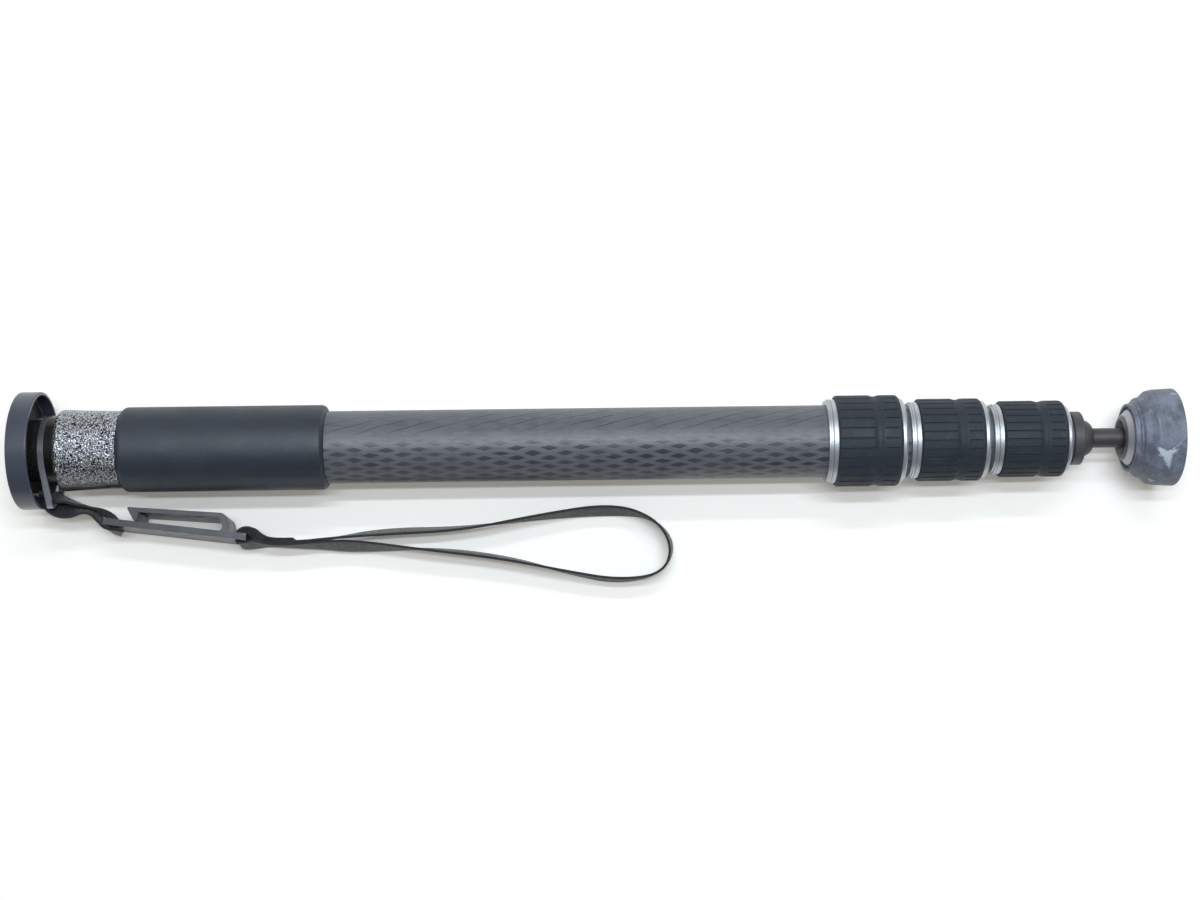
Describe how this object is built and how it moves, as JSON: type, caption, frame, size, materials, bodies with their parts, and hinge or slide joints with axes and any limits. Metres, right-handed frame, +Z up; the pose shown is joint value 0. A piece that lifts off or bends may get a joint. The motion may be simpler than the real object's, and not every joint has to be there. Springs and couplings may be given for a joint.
{
  "type": "camera monopod",
  "caption": "Telescoping carbon camera monopod, closed, with twist locks, a wide camera plate, a ball-jointed rubber foot and a wrist strap on a belt clip.",
  "frame": {"origin": "centre of the camera seat, the outer face of the plate's pad", "axes": "+X along the pole from the camera seat to the foot, +Z up from the floor that the monopod lies on, strap on the -Y side; the pole's own axis dips 0.5 degrees towards the foot"},
  "size_m": [0.5884, 0.103, 0.0601],
  "materials": {
    "anodised_black": "black satin anodising",
    "pad_rubber": "matt black",
    "steel": "plain, slightly worn",
    "hammertone": "grey hammered-effect paint",
    "grip_foam": "matt charcoal",
    "carbon": "clear-coated carbon fibre, crossed fine weave",
    "silver": "satin silver",
    "lock_rubber": "matt, ribbed",
    "nylon": "natural nylon",
    "seal_rubber": "matt black",
    "ring_steel": "satin",
    "webbing": "woven nylon webbing",
    "clip_plastic": "moulded, satin",
    "plug_plastic": "moulded, satin black",
    "stem_metal": "dark bronze-grey, satin",
    "foot_rubber": "scuffed blue-grey rubber"
  },
  "bodies": {
    "upper_leg": {"camera_plate": "anodised_black", "plate_pad": "pad_rubber", "plate_grub_screws": "steel", "plate_hub": "anodised_black", "hub_grub_screw": "steel", "top_casting": "hammertone", "hand_grip": "grip_foam", "leg_tube_1": "carbon", "lock_1_collar": "silver", "lock_1_wedge": "nylon"},
    "camera_screw": {"camera_screw": "steel"},
    "strap": {"strap_ring": "ring_steel", "strap_tab": "webbing", "strap_clip": "clip_plastic", "strap_loop": "webbing"},
    "lock_1": {"lock_1_sleeve": "silver", "lock_1_grip": "lock_rubber", "lock_1_seal": "seal_rubber"},
    "section_2": {"leg_tube_2": "carbon", "glide_1": "nylon", "lock_2_collar": "silver", "lock_2_wedge": "nylon"},
    "lock_2": {"lock_2_sleeve": "silver", "lock_2_grip": "lock_rubber", "lock_2_seal": "seal_rubber"},
    "section_3": {"leg_tube_3": "carbon", "glide_2": "nylon", "lock_3_collar": "silver", "lock_3_wedge": "nylon"},
    "lock_3": {"lock_3_sleeve": "silver", "lock_3_grip": "lock_rubber", "lock_3_seal": "seal_rubber"},
    "section_4": {"leg_tube_4": "carbon", "glide_3": "nylon", "tip_plug": "plug_plastic"},
    "foot_stem": {"foot_stem": "stem_metal"},
    "foot": {"ball_ring": "silver", "ball_cup": "plug_plastic", "rubber_foot": "foot_rubber"}
  },
  "joints": [
    {"name": "camera_screw_travel", "type": "slide", "parent": "upper_leg", "child": "camera_screw", "axis": [-1, 0, 0.0087], "range_m": [0, 0.0095]},
    {"name": "strap_swivel", "type": "hinge", "parent": "upper_leg", "child": "strap", "pos_m": [0.0142, 0, -0.00012], "axis": [1, 0, -0.0087], "continuous": true},
    {"name": "lock_1_twist", "type": "hinge", "parent": "upper_leg", "child": "lock_1", "pos_m": [0.42958, 0, -0.00372], "axis": [1, 0, -0.0087], "range_deg": [0, 100]},
    {"name": "section_2_slide", "type": "slide", "parent": "upper_leg", "child": "section_2", "axis": [1, 0, -0.0087], "range_m": [0, 0.35]},
    {"name": "lock_2_twist", "type": "hinge", "parent": "section_2", "child": "lock_2", "pos_m": [0.47158, 0, -0.00409], "axis": [1, 0, -0.0087], "range_deg": [0, 100]},
    {"name": "section_3_slide", "type": "slide", "parent": "section_2", "child": "section_3", "axis": [1, 0, -0.0087], "range_m": [0, 0.35]},
    {"name": "lock_3_twist", "type": "hinge", "parent": "section_3", "child": "lock_3", "pos_m": [0.51358, 0, -0.00445], "axis": [1, 0, -0.0087], "range_deg": [0, 100]},
    {"name": "section_4_slide", "type": "slide", "parent": "section_3", "child": "section_4", "axis": [1, 0, -0.0087], "range_m": [0, 0.35]},
    {"name": "foot_turn", "type": "hinge", "parent": "section_4", "child": "foot_stem", "pos_m": [0.56898, 0, -0.00493], "axis": [1, 0, -0.0087], "continuous": true},
    {"name": "foot_tilt", "type": "hinge", "parent": "foot_stem", "child": "foot", "pos_m": [0.56898, 0, -0.00493], "axis": [0, 1, 0], "range_deg": [-20, 20]}
  ]
}
